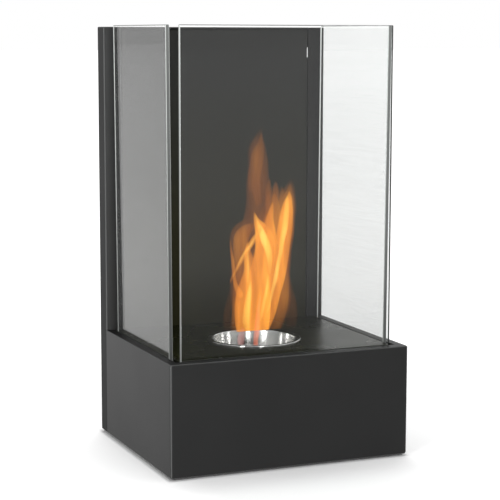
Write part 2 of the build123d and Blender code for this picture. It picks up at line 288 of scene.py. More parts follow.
def powder_coat(name, dark, light, smooth, rough, peel_depth, shine, shade_by=None, on_top=None):
    """A fine-textured black coat: two blacks, its roughness, peel depth and shine, with a painted
    highlight in a lighter grey on its bends. shade_by is an axis and the {place: level} along it
    that blend the blacks, in place of a soft drift, as painted shade and highlight. on_top is the
    least roughness of the faces that look up, which also get a painted shade, a deeper black."""
    material, tree, shader = start_material(name, Specular_IOR_Level=shine)
    facing = split(tree, vector_calc(tree, "ABSOLUTE", coords(tree, "Normal")))
    drift = object_noise(tree, drift_scale, detail=3.0)
    shade = drift
    if shade_by is not None:
        axis, levels = shade_by
        shade = steps(tree, split(tree, coords(tree))[axis], levels)
    colour = blend(tree, shade, dark, light)
    gloss = ramp(tree, drift, smooth, rough, *mid_noise)
    # Faces that look up are rougher and get the painted shade, a deeper black.
    if on_top is not None:
        looks_up = ramp(tree, facing["Z"], 0.0, 1.0, *flat_share)
        colour = blend(tree, looks_up, colour, painted_shade_black)
        gloss = calc(tree, "MAXIMUM", ramp(tree, looks_up, 0.0, on_top), gloss)
    # Bends, whose normals lie along no axis, get the painted highlight, a lighter grey.
    most = calc(tree, "MAXIMUM", calc(tree, "MAXIMUM", facing["X"], facing["Y"]), facing["Z"])
    painted_bend_highlight = product(
        tree,
        ramp(tree, most, 1.0, 0.0, *flat_share),
        ramp(tree, facing["Z"], 1.0, level_bend_highlight, *rising_share),
    )
    grit = object_noise(tree, grit_scale, detail=0.0)
    peel = object_noise(tree, peel_scale, detail=1.0)
    feed(
        tree, shader,
        Base_Color=blend(tree, painted_bend_highlight, colour, bend_highlight_grey),
        Roughness=gloss,
        Normal=bump(tree, calc(tree, "MULTIPLY_ADD", grit, grit_depth, peel), peel_depth),
    )
    return material


finishes = {
    "powder_coat": powder_coat(
        "black powder coat", black, light_black,
        smooth=0.3, rough=0.37, peel_depth=0.00005, shine=0.3, on_top=0.5,
    ),
    # The face plate below is darker low down, a painted shade, and browner there.
    "powder_coat_panel": powder_coat(
        "face plate coat", (0.0122, 0.012, 0.003), (0.0175, 0.0176, 0.0165),
        smooth=0.4, rough=0.48, peel_depth=0.00006, shine=0.15,
        shade_by=("Z", {0.2: 0.0, 0.4: 1.0}),
    ),
    "powder_coat_hearth": powder_coat(
        "hearth coat", (0.006, 0.0063, 0.0012), (0.009, 0.0094, 0.0024),
        smooth=0.24, rough=0.32, peel_depth=0.00004, shine=0.3,
    ),
}
back_feel = dict(smooth=0.6, rough=0.68, peel_depth=0.00005, shine=0.34)
back_coat = powder_coat("back coat", black, light_black, **back_feel)
# The back's side pieces get a painted highlight by their outer bends that fades to a painted shade
# towards the panes.
side_coat_painted_light = powder_coat(
    "back side coat", (0.006, 0.0061, 0.0061), (0.042, 0.0425, 0.0425), **back_feel,
    shade_by=("X", {-0.13: 0.4, -0.127: 1.0, -0.116: 0.0, 0.127: 0.0, 0.13: 0.4}),
)
print(len(finishes) + 2, "powder coats")


# %% [markdown]
# ## Plain steels and rubber
# Under the hearth sit zinc-plated rails, studs and a floor cover. Zinc grows in flat crystals,
# each with its own shine, which a Voronoi pattern gives at once: a cell's random value picks its
# roughness.


# %% zinc, black steel, black screws and rubber
def zinc(name, crystal_scale, smooth, rough):
    """Zinc plate with its pattern of crystals."""
    material, tree, shader = start_material(name, Metallic=1.0)
    crystals = add(tree, "ShaderNodeTexVoronoi", Vector=coords(tree), Scale=crystal_scale)
    cell = add(tree, "ShaderNodeSeparateColor", crystals.outputs["Color"]).outputs["Red"]
    feed(
        tree, shader,
        Base_Color=blend(tree, cell, (0.50, 0.52, 0.54), (0.66, 0.67, 0.68)),
        Roughness=ramp(tree, cell, smooth, rough),
    )
    return material


def dark_skin(name, dark, light, smooth, rough):
    """Blackened steel or rubber: a matt dark skin with a faint grain."""
    material, tree, shader = start_material(name)
    grain = object_noise(tree, scale=700.0, detail=3.0)
    feed(
        tree, shader,
        Base_Color=blend(tree, grain, dark, light),
        Roughness=ramp(tree, grain, smooth, rough),
        Normal=bump(tree, grain, depth=0.00003),
    )
    return material


finishes["zinc_sheet"] = zinc("zinc-plated sheet", crystal_scale=160.0, smooth=0.28, rough=0.5)
finishes["zinc_fastener"] = zinc(
    "zinc-plated fastener", crystal_scale=900.0, smooth=0.25, rough=0.4
)
finishes["black_steel"] = dark_skin(
    "blackened channel", grey(0.010), grey(0.018), smooth=0.5, rough=0.7
)
finishes["black_fastener"] = dark_skin(
    "black-oxide screw", (0.012, 0.012, 0.013), (0.022, 0.022, 0.023), smooth=0.3, rough=0.45
)
finishes["rubber"] = dark_skin("black rubber", grey(0.012), grey(0.02), smooth=0.75, rough=0.95)
print(len(finishes), "finishes so far")

# %% [markdown]
# ## Polished steel
# The burner cup is drawn from stainless sheet and polished. Its inside works as a curved mirror,
# so it shows the studio's lamps as upright white bands. A trace of roughness softens the bands'
# edges, and very faint rings from the polishing wheel run round the axis. The screen in the cup
# has the straw and blue-grey patches that heat leaves on steel.


# %% polished steel and the heat-tinted screen
def polished_steel():
    """Mirror-like stainless steel with faint polishing rings round the burner's axis."""
    material, tree, shader = start_material("polished stainless steel", Metallic=1.0)
    drift = object_noise(tree, scale=60.0, detail=3.0)
    rings = object_noise(tree, scale=1.0, stretch=(3.0, 3.0, 1800.0))
    feed(
        tree, shader,
        Base_Color=blend(tree, drift, (0.62, 0.615, 0.60), (0.70, 0.695, 0.68)),
        Roughness=ramp(tree, drift, 0.1, 0.2, *mid_noise),
        Normal=bump(tree, rings, depth=0.00001),
    )
    return material


def tinted_screen():
    """Perforated steel that the flame has tinted in straw and blue-grey patches."""
    material, tree, shader = start_material("heat-tinted screen", Metallic=1.0)
    patches = ramp(tree, object_noise(tree, scale=45.0, detail=3.0), 0.0, 1.0, *inner_noise)
    grain = object_noise(tree, scale=900.0)
    feed(
        tree, shader,
        Base_Color=blend(tree, patches, (0.30, 0.27, 0.24), (0.46, 0.45, 0.46)),
        Roughness=ramp(tree, grain, 0.3, 0.55),
        Normal=bump(tree, grain, depth=0.00005),
    )
    return material


finishes["polished_steel"] = polished_steel()
finishes["steel_mesh"] = tinted_screen()
print(len(finishes), "finishes so far")

# %% [markdown]
# ## Glass
# Each pane is clear tempered glass, 4 mm thick, with ground edges. Real glass lets lamplight
# through, but a path tracer has to find that light by luck, which leaves dark, noisy shadows. The
# usual cure is used here: rays that only carry light see a tinted, see-through surface, and all
# others see glass.
#
# A pane's edge is bright for another reason: daylight runs inside the sheet like water in a pipe
# and leaves at the ground edge. That takes dozens of bounces, more than a render follows, so the
# edges, picked out by the direction that they face, get a painted glow in place of that light,
# fainter towards the foot and unseen in mirrors. The rear edges are picked out by their place as
# well, because a ray inside the glass meets them from the other side. The side panes also carry a
# very faint film of dust in level streaks.


# %% helpers for rays and shaders
def light_path(tree):
    """What kind of ray is looking."""
    return add(tree, "ShaderNodeLightPath").outputs


def unmirrored(tree):
    """One for rays that have met no mirror, else zero."""
    return ramp(tree, light_path(tree)["Glossy Depth"], 1.0, 0.0)


def mix_shaders(tree, factor, first, second):
    """A mix of two shader nodes."""
    return add(tree, "ShaderNodeMixShader", factor, first.outputs[0], second.outputs[0])


def show(tree, node, kind="Surface"):
    """Makes a shader node the material's surface or volume."""
    give(tree, tree.nodes["Material Output"].inputs[kind], node.outputs[0])


print("helpers: light_path, unmirrored, mix_shaders, show")


# %% glass
pane_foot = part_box("glass_front")[0][2]
pane_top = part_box("glass_front")[1][2]
pane_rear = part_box("glass_left")[1][1]
rear_zone = (pane_rear - 0.002, pane_rear - 0.001)
right_zone = (-0.05, 0.05)
# Levels of the painted edge glow, by the way that an edge looks along Y.
painted_edge_glow_levels = {-1.0: 0.25, -0.9: 0.33, -0.7: 2.0, -0.4: 0.7, 0.1: 0.7, 1.0: 3.0}
foot_level = 0.3  # the share of the painted edge glow that is left at a pane's foot
lying_level = 0.12  # and on the edges that lie level
lying_share = (0.35, 0.65)
edge_share = (0.9, 0.99)  # a face turns from edge to pane as its normal nears the facing
edge_cover = 0.8
film_low, film_high = 0.4, 1.6


def painted_edge_glow_strength(tree, normal, right_end):
    """How bright an edge's painted glow is: by the way that it looks along Y and by its place on
    the pane.
    """
    facing = split(tree, normal)
    place = split(tree, coords(tree))
    by_facing = steps(tree, facing["Y"], painted_edge_glow_levels)
    return product(
        tree,
        calc(tree, "MAXIMUM", by_facing, ramp(tree, place["Y"], 0.0, 1.0, *rear_zone)),
        ramp(tree, place["Z"], foot_level, 1.0, pane_foot, pane_top),
        ramp(tree, facing["Z"], 1.0, lying_level, *lying_share),
        ramp(tree, place["X"], 1.0, right_end, *right_zone),
        unmirrored(tree),
    )


def clear_glass(name, facing, bend, film, right_end=1.0):
    """Clear glass. Faces that don't look along facing are its edges, which get a painted glow. bend
    is the refraction, film the share of dust, and right_end the share of the painted glow that the
    pane's right end keeps."""
    material, tree, shader = start_material(
        name, Base_Color=(0.985, 0.992, 0.988), Roughness=0.0, Transmission_Weight=1.0, IOR=bend
    )
    normal = coords(tree, "Normal")
    flat = calc(tree, "ABSOLUTE", vector_calc(tree, "DOT_PRODUCT", normal, facing))
    streaks = object_noise(tree, scale=1.0, detail=3.0, stretch=(14.0, 14.0, 420.0))
    film_here = ramp(tree, streaks, film * film_low, film * film_high, *inner_noise)
    dust = add(tree, "ShaderNodeBsdfDiffuse", Color=(0.9, 0.9, 0.88))
    # The edges get a painted glow in place of the light that the glass guides.
    painted_edge_glow = add(
        tree, "ShaderNodeEmission",
        Color=(0.96, 1.0, 0.97), Strength=painted_edge_glow_strength(tree, normal, right_end),
    )
    dusty = mix_shaders(tree, film_here, shader, dust)
    glass_and_painted_glow = mix_shaders(tree, ramp(tree, flat, edge_cover, 0.0, *edge_share), dusty, painted_edge_glow)
    clear = add(tree, "ShaderNodeBsdfTransparent", Color=(0.92, 0.94, 0.93))
    path = light_path(tree)
    carries_light = calc(tree, "MAXIMUM", path["Is Shadow Ray"], path["Is Diffuse Ray"])
    show(tree, mix_shaders(tree, carries_light, glass_and_painted_glow, clear))
    return material


front_glass = clear_glass("front pane", (0.0, 1.0, 0.0), bend=1.52, film=0.0, right_end=0.05)
side_glass = clear_glass("side pane", (1.0, 0.0, 0.0), bend=1.62, film=0.015)
print("edges glow from", round(pane_foot, 4), "to", round(pane_top, 4), "m")

# %% [markdown]
# ## Dressing the CAD pieces
# The record names a material slot for every piece. A loop over the pieces looks up the finish for
# that slot and hangs it on the piece's own material slot, so no piece is forgotten. The panes and
# the back shell have finishes of their own.


# %% fibre wool finish and the loop
def fibre_wool():
    """Off-white ceramic fibre, matt and slightly mottled."""
    material, tree, shader = start_material("ceramic fibre", Roughness=0.95)
    mottle = object_noise(tree, scale=220.0, detail=4.0)
    feed(
        tree, shader,
        Base_Color=blend(tree, mottle, (0.58, 0.55, 0.50), (0.78, 0.76, 0.72)),
        Normal=bump(tree, mottle, depth=0.0006),
    )
    return material


finishes["ceramic_wool"] = fibre_wool()
own_finish = {
    "glass_front": front_glass,
    "glass_left": side_glass,
    "glass_right": side_glass,
    "back_rear_wall": back_coat,
    "back_top": back_coat,
    "back_bottom": back_coat,
    "back_side_left": side_coat_painted_light,
    "back_side_right": side_coat_painted_light,
}
for name, node in nodes.items():
    finish = own_finish.get(name) or finishes[slot_of[name]]
    for slot in node.material_slots:
        slot.material = finish
used = {slot.material.name for node in nodes.values() for slot in node.material_slots}
print("dressed", len(nodes), "pieces in", len(used), "finishes")

# %% [markdown]
# ## Flame shapes
# A flame has no surface: it is a glowing gas, bright where it is thick. So it is built as nested
# closed shapes, each filled with a glow: a faint veil, a haze, the body, the hot heart, a red
# lick at the front and a pink tint in the cup. Every tongue is a line of points read off the
# photograph on an upright plane through the burner: how far right, how high, how wide, in
# millimetres. A tongue that stands nearer or further than the plane slides along the line of
# sight, so it is still seen at the same place, and the flame fills the round burner instead of
# lying in a sheet.

# %% flame outlines
burner_depth = -0.01185
sight_slope = 0.204


def seen_at(right, high, depth):
    """A point in millimetres on the plane, slid by depth along the line of sight, in metres."""
    point = Vector((right / 1000.0, burner_depth, high / 1000.0))
    sight = point - camera_place
    return point + sight * (depth / 1000.0 / sight.y)


veil_tongues = [
    # main tongue
    (-4, [(8, 336, 0.5), (5, 326, 4.5), (3, 317, 8), (3, 309, 9.5), (4, 299, 10.5), (4, 283, 12),
        (5, 266, 12.5), (2, 252, 11.5), (0, 238, 12.5), (1, 225, 15), (1, 207, 13)]),
    # left lobe
    (-8, [(2, 241, 2), (-7, 235, 8), (-15, 225, 11.5), (-17, 215, 10), (-16, 201, 9.5),
        (-16, 187, 10), (-16, 170, 10), (-16, 149, 9.5), (-16, 130, 8.5)]),
    # shoulder
    (-8, [(-28, 223, 0.5), (-26, 218, 1.5), (-23, 210, 3.5), (-20, 200, 5)]),
    # left veil
    (-14, [(-23, 181, 1), (-26, 167, 2), (-29, 153, 3), (-31, 141, 3.5), (-31, 129, 3.5)]),
    # right lobe
    (10, [(42, 282, 0.5), (41, 273, 5), (38, 263, 8.5), (37, 247, 10), (34, 230, 11),
        (32, 213, 10.5), (31, 195, 10.5), (30, 178, 10.5), (31, 160, 11), (29, 142, 10.5),
        (25, 127, 8.5)]),
    # right veil
    (14, [(40, 177, 1.5), (42, 163, 3), (44, 148, 5), (44, 134, 5.5), (41, 120, 5.5)]),
    # between
    (2, [(25, 277, 1.5), (23, 265, 7), (21, 251, 11.5), (19, 238, 15), (17, 217, 15),
        (12, 196, 17)]),
]
haze_tongues = [
    # main streak
    (-4, [(8, 331, 0.5), (6, 322, 2), (4, 311, 3), (1, 297, 3), (-1, 283, 2.5), (1, 269, 2),
        (3, 257, 1.5)]),
    # its left side
    (-3, [(2, 319, 0.5), (-1, 310, 2), (-3, 297, 2.5), (-5, 284, 2), (-4, 272, 1)]),
    # its right side
    (-5, [(9, 322, 0.5), (8, 311, 2), (6, 298, 2.5), (4, 284, 2.5), (5, 270, 2), (7, 257, 1)]),
    # left lobe
    (-10, [(2, 237, 1), (-7, 232, 5), (-14, 223, 8), (-15, 215, 8.5), (-15, 201, 8),
        (-15, 187, 7.5), (-15, 170, 8), (-16, 149, 8), (-16, 130, 7.5)]),
    # right lobe
    (8, [(41, 276, 1), (40, 267, 4), (38, 258, 7), (37, 244, 8.5), (35, 226, 9.5), (33, 209, 9),
        (32, 192, 8), (33, 174, 7), (32, 156, 7.5), (29, 141, 7.5), (24, 127, 7)]),
    # between
    (2, [(23, 266, 1), (22, 257, 5.5), (21, 244, 9.5), (20, 231, 11.5), (17, 213, 13),
        (12, 196, 15)]),
    # thin sheet between the lobes
    (4, [(17, 281, 1), (16, 271, 3), (16, 258, 3.5), (16, 246, 3.5)]),
    (6, [(24, 279, 1), (24, 269, 3), (24, 257, 3.5), (23, 245, 3.5)]),
    (8, [(31, 273, 1), (32, 264, 3), (31, 254, 3.5)]),
    # left foot
    (-12, [(-21, 156, 1.5), (-23, 144, 2), (-24, 134, 2.5), (-24, 125, 2.5)]),
]
body_tongues = [
    # left core
    (-8, [(-7, 218, 0.5), (-7, 209, 3), (-6, 199, 5), (-5, 187, 6.5), (-6, 174, 9.5), (-9, 161, 11),
        (-10, 147, 11.5), (-9, 131, 11.5), (-8, 122, 10)]),
    # left rim
    (-14, [(-27, 220, 0.5), (-26, 210, 1), (-24, 198, 1.5), (-23, 186, 1.5), (-21, 174, 2),
        (-16, 163, 3.5)]),
    # centre
    (0, [(0, 249, 0.5), (3, 240, 3), (8, 231, 6.5), (12, 219, 10), (12, 205, 11), (10, 191, 12.5),
        (7, 175, 14), (4, 158, 14.5), (3, 141, 14.5), (2, 121, 13)]),
    # second
    (4, [(21, 258, 0.5), (19, 250, 2.5), (17, 240, 4.5), (17, 227, 7), (18, 213, 8), (19, 196, 9.5),
        (17, 178, 10)]),
    # right
    (10, [(40, 269, 0.5), (40, 263, 2.5), (38, 255, 5), (37, 244, 7), (35, 230, 8), (32, 213, 8.5),
        (29, 195, 9), (25, 178, 9.5), (20, 161, 9.5), (16, 143, 8.5), (11, 128, 7), (9, 121, 5.5)]),
    # diagonal
    (-18, [(7, 231, 1.5), (2, 223, 2.5), (-6, 212, 2.5), (-14, 200, 2), (-20, 190, 1.5),
        (-25, 181, 1), (-27, 176, 0.5)]),
    # front streak
    (-16, [(5, 162, 1), (4, 148, 1.5), (3, 134, 2), (3, 121, 1.5)]),
]
heart_tongues = [
    # right streak
    (-12, [(38, 263, 1), (37, 251, 2.5), (35, 233, 3), (32, 218, 2.5), (30, 204, 2), (27, 190, 2),
        (24, 176, 2), (21, 164, 1.5), (18, 150, 1), (15, 142, 0.5)]),
    # centre streak
    (-14, [(1, 246, 0.5), (4, 238, 1.5), (8, 229, 3), (12, 219, 4), (16, 208, 3.5), (18, 196, 2.5),
        (18, 184, 1)]),
    # left glow
    (-14, [(-4, 176, 0.5), (-6, 162, 2.5), (-8, 148, 3.5), (-9, 136, 4), (-8, 127, 3)]),
    # left core
    (-14, [(-7, 208, 0.5), (-7, 197, 1), (-7, 187, 1), (-8, 175, 0.5)]),
    # diagonal
    (-22, [(5, 229, 0.5), (-3, 216, 1), (-11, 206, 1), (-19, 192, 0.5), (-24, 183, 0.5)]),
    # middle streak
    (-14, [(16, 182, 0.5), (15, 170, 1.5), (12, 156, 1.5), (9, 142, 1.5), (7, 133, 0.5)]),
]
lick_tongues = [
    # front streak
    (-18, [(7, 161, 0.5), (5, 147, 1.5), (4, 134, 2.5), (3, 121, 3), (2, 114, 2.5), (2, 109, 2.5)]),
]
tint_tongues = [
    # faint glow in the cup
    (-18, [(-13, 126, 1.5), (-14, 121, 3.5), (-15, 115, 4), (-15, 110, 3)]),
]


def spines(name, tongues):
    """A curve object with one line per tongue. A point's radius is half the tongue's width."""
    data = bpy.data.curves.new(name, "CURVE")
    data.dimensions = "3D"
    for depth, points in tongues:
        line = data.splines.new("POLY")
        line.points.add(len(points) - 1)
        for point, (right, high, width) in zip(line.points, points):
            point.co = (*seen_at(right, high, depth), 1.0)
            point.radius = width / 1000.0
    thing = bpy.data.objects.new(name, data)
    scene.collection.objects.link(thing)
    return thing


all_tongues = (
    veil_tongues, haze_tongues, body_tongues, heart_tongues, lick_tongues, tint_tongues
)
print(sum(len(tongues) for tongues in all_tongues), "tongues in", len(all_tongues), "layers")


# %% [markdown]
# ## Flame nodes
# Geometry Nodes set balls of gas along each line, merge them as a volume, which melts them
# together like real gas, and draw one smooth skin round the volume. The balls are set in a space
# stretched in depth, and squashing it back leaves a flame that is flatter than it is wide. A
# noise bends the result, more so higher up, because hot gas starts smooth and turns wild as it
# climbs. At last the foot is cut flat along the line of sight, where the cup's mouth hides it.


# %% helpers for geometry nodes
def start_group(name, sockets):
    """A geometry node group with a geometry input and the given (name, kind, default) inputs."""
    group = bpy.data.node_groups.new(name, "GeometryNodeTree")
    group.interface.new_socket("Geometry", in_out="INPUT", socket_type="NodeSocketGeometry")
    for label, kind, default in sockets:
        socket = group.interface.new_socket(label, in_out="INPUT", socket_type=kind)
        if default is not None:
            socket.default_value = default
    group.interface.new_socket("Geometry", in_out="OUTPUT", socket_type="NodeSocketGeometry")
    start = group.nodes.new("NodeGroupInput").outputs
    finish = group.nodes.new("NodeGroupOutput").inputs["Geometry"]
    return group, start, finish


def apply_group(thing, group, name, **values):
    """Runs a group on an object and keeps the result as a plain mesh object at the origin."""
    modifier = thing.modifiers.new(group.name, "NODES")
    modifier.node_group = group
    for item in group.interface.items_tree:
        label = item.name.replace(" ", "_").lower()
        if item.in_out == "INPUT" and label in values:
            modifier[item.identifier] = values[label]
    bpy.context.view_layer.update()
    solved = thing.evaluated_get(bpy.context.evaluated_depsgraph_get())
    mesh = bpy.data.meshes.new_from_object(solved)
    bpy.data.objects.remove(thing)
    piece = bpy.data.objects.new(name, mesh)
    scene.collection.objects.link(piece)
    print(name, len(mesh.polygons), "faces")
    return piece


def run(tree, kind, geometry, **named):
    """Sends geometry through a node and hands back what comes out."""
    return add(tree, kind, geometry, **named).outputs[0]


def scaled(tree, vector, factor):
    """A vector times a factor."""
    node = add(tree, "ShaderNodeVectorMath", vector, operation="SCALE", Scale=factor)
    return node.outputs["Vector"]


def join(tree, x, y, z):
    """A vector from its X, Y and Z."""
    return add(tree, "ShaderNodeCombineXYZ", x, y, z).outputs["Vector"]


def centred_noise(tree, place, **named):
    """A noise vector that swings about zero."""
    noise = add(tree, "ShaderNodeTexNoise", **named, Vector=place, Detail=1.0)
    return vector_calc(tree, "SUBTRACT", noise.outputs["Color"], grey(0.5))


print("helpers: start_group, apply_group, run, scaled, join, centred_noise")


# %% flame nodes
sway_zone = (0.13, 0.26)


def melted_tubes():
    """Lines to balls of gas along them to one smooth closed skin, bent and cut at its foot."""
    tree, start, finish = start_group("melted tubes", [
        ("Steps", "NodeSocketInt", 110),
        ("Depth Scale", "NodeSocketFloat", 0.7),
        ("Voxel", "NodeSocketFloat", 0.0015),
        ("Sway", "NodeSocketFloat", 0.004),
        ("Sway Size", "NodeSocketFloat", 28.0),
        ("Seed", "NodeSocketFloat", 2.0),
        ("Foot", "NodeSocketFloat", 0.12),
        ("Material", "NodeSocketMaterial", None),
    ])
    place = add(tree, "GeometryNodeInputPosition").outputs["Position"]
    parts = split(tree, place)
    voxel = start["Voxel"]

    deeper = join(tree, 1.0, calc(tree, "DIVIDE", 1.0, start["Depth Scale"]), 1.0)
    lines = run(tree, "GeometryNodeCurveSplineType", start["Geometry"], spline_type="CATMULL_ROM")
    lines = run(tree, "GeometryNodeTransform", lines, Scale=deeper)
    balls = run(tree, "GeometryNodeCurveToPoints", lines, Count=start["Steps"])
    radius = add(tree, "GeometryNodeInputRadius").outputs["Radius"]
    gas = run(
        tree, "GeometryNodePointsToVolume", balls, resolution_mode="VOXEL_SIZE",
        Density=1.0, Voxel_Size=voxel, Radius=calc(tree, "ADD", radius, voxel),
    )
    skin = run(
        tree, "GeometryNodeVolumeToMesh", gas, resolution_mode="VOXEL_SIZE",
        Threshold=0.5, Voxel_Size=voxel,
    )
    squash = join(tree, 1.0, start["Depth Scale"], 1.0)
    skin = run(tree, "GeometryNodeTransform", skin, Scale=squash)

    swing = centred_noise(
        tree, place, noise_dimensions="4D", Scale=start["Sway Size"], W=start["Seed"]
    )
    risen = ramp(tree, parts["Z"], 0.0, 1.0, *sway_zone)
    shift = scaled(tree, swing, product(tree, risen, start["Sway"]))
    skin = run(tree, "GeometryNodeSetPosition", skin, Offset=shift)

    nearness = calc(
        tree, "MULTIPLY_ADD", parts["Y"], -sight_slope, burner_depth * sight_slope
    )
    lowest = join(tree, -1.0, -1.0, calc(tree, "ADD", nearness, start["Foot"]))
    cut = vector_calc(tree, "MAXIMUM", place, lowest)
    skin = run(tree, "GeometryNodeSetPosition", skin, Position=cut)
    skin = run(tree, "GeometryNodeSetShadeSmooth", skin)
    skin = run(tree, "GeometryNodeSetMaterial", skin, Material=start["Material"])
    give(tree, finish, skin)
    return tree


melt = melted_tubes()
print("the flame's group has", len(melt.nodes), "nodes")


# %% [markdown]
# ## Glowing gas
# What fills the shapes is a volume shader. It gives off light per metre, so the flame is brighter
# where the gas is thicker, as a real one is, and it dims what lies behind, which keeps the white
# background from washing it out. A noise stretched upright makes the streaks. Mirrors don't see
# the gas, so the polished cup keeps its clean white bands.


# %% glowing gas
glow_zone = (0.122, 0.155)
streak_range = (0.7, 1.3)  # the share of the glow in the faintest and the brightest streaks


def bare_material(name):
    """A new material with its tree and without a shader."""
    material, tree, shader = start_material(name)
    tree.nodes.remove(shader)
    return material, tree


def add_shaders(tree, first, second):
    """The sum of two shader nodes."""
    return add(tree, "ShaderNodeAddShader", first.outputs[0], second.outputs[0])


def glowing_gas(name, deep, light, glow, density, foot_glow):
    """A see-through volume that glows, both per metre, in streaks of a deep and a light colour.
    foot_glow is the share of the glow that is left at its foot."""
    material, tree = bare_material(name)
    noise = object_noise(tree, scale=1.0, stretch=(110.0, 110.0, 14.0))
    streaks = ramp(tree, noise, 0.0, 1.0, *inner_noise)
    strength = product(
        tree,
        ramp(tree, split(tree, coords(tree))["Z"], glow * foot_glow, glow, *glow_zone),
        unmirrored(tree),
        ramp(tree, streaks, *streak_range),
    )
    gas = add(
        tree, "ShaderNodeEmission", Color=blend(tree, streaks, deep, light), Strength=strength
    )
    dim = add(tree, "ShaderNodeVolumeAbsorption", Color=grey(0.0), Density=density)
    show(tree, add_shaders(tree, gas, dim), "Volume")
    return material


print("streaks have", streak_range[0], "to", streak_range[1], "of the glow")


# %% flame layers
cup_mouth, cup_inside = 0.1235, 0.104  # where a layer's foot is cut
layers = {
    # name: lines, (deep colour, light colour, glow, density, foot glow), (voxel, sway, foot)
    "flame_veil": (
        veil_tongues, ((1.0, 0.24, 0.03), (1.0, 0.32, 0.04), 8.0, 8.0, 0.22),
        (0.0012, 0.005, cup_mouth),
    ),
    "flame_haze": (
        haze_tongues, ((1.0, 0.26, 0.03), (1.0, 0.38, 0.04), 25.0, 30.0, 0.4),
        (0.0012, 0.004, cup_mouth),
    ),
    "flame_body": (
        body_tongues, ((1.0, 0.3, 0.035), (1.06, 0.4, 0.045), 163.0, 150.0, 0.9),
        (0.0009, 0.003, cup_mouth),
    ),
    "flame_heart": (
        heart_tongues, ((1.0, 0.75, 0.12), (1.0, 0.95, 0.24), 85.0, 20.0, 0.6),
        (0.0007, 0.0025, cup_mouth),
    ),
    "flame_lick": (
        lick_tongues, ((1.0, 0.2, 0.1), (1.0, 0.26, 0.11), 190.0, 110.0, 0.8),
        (0.0006, 0.002, cup_inside),
    ),
    "flame_tint": (
        tint_tongues, ((1.0, 0.26, 0.22), (1.0, 0.3, 0.26), 34.0, 22.0, 1.0),
        (0.0006, 0.002, cup_inside),
    ),
}
for name, (tongues, look, (voxel, sway, foot)) in layers.items():
    gas = glowing_gas(name.replace("_", " "), *look)
    piece = apply_group(
        spines(name, tongues), melt, name, voxel=voxel, sway=sway, foot=foot, material=gas
    )
    piece.visible_glossy = False
    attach(piece, "burner")

# %% [markdown]
# ## Fibre wool
# Inside the cup, under the screen, sits a pad of ceramic wool that holds the fuel. The CAD model
# has a plain body in its place. Wool is a felt of loose fibres, so the nodes lump a tapered pad a
# little and scatter short bent fibres over it. Whatever would stick out is drawn back inside the
# plain body's cone, and the result takes that body's place.


# %% wool nodes
lump_scale = 160.0
wander_scale, wander_reach = 210.0, 0.006


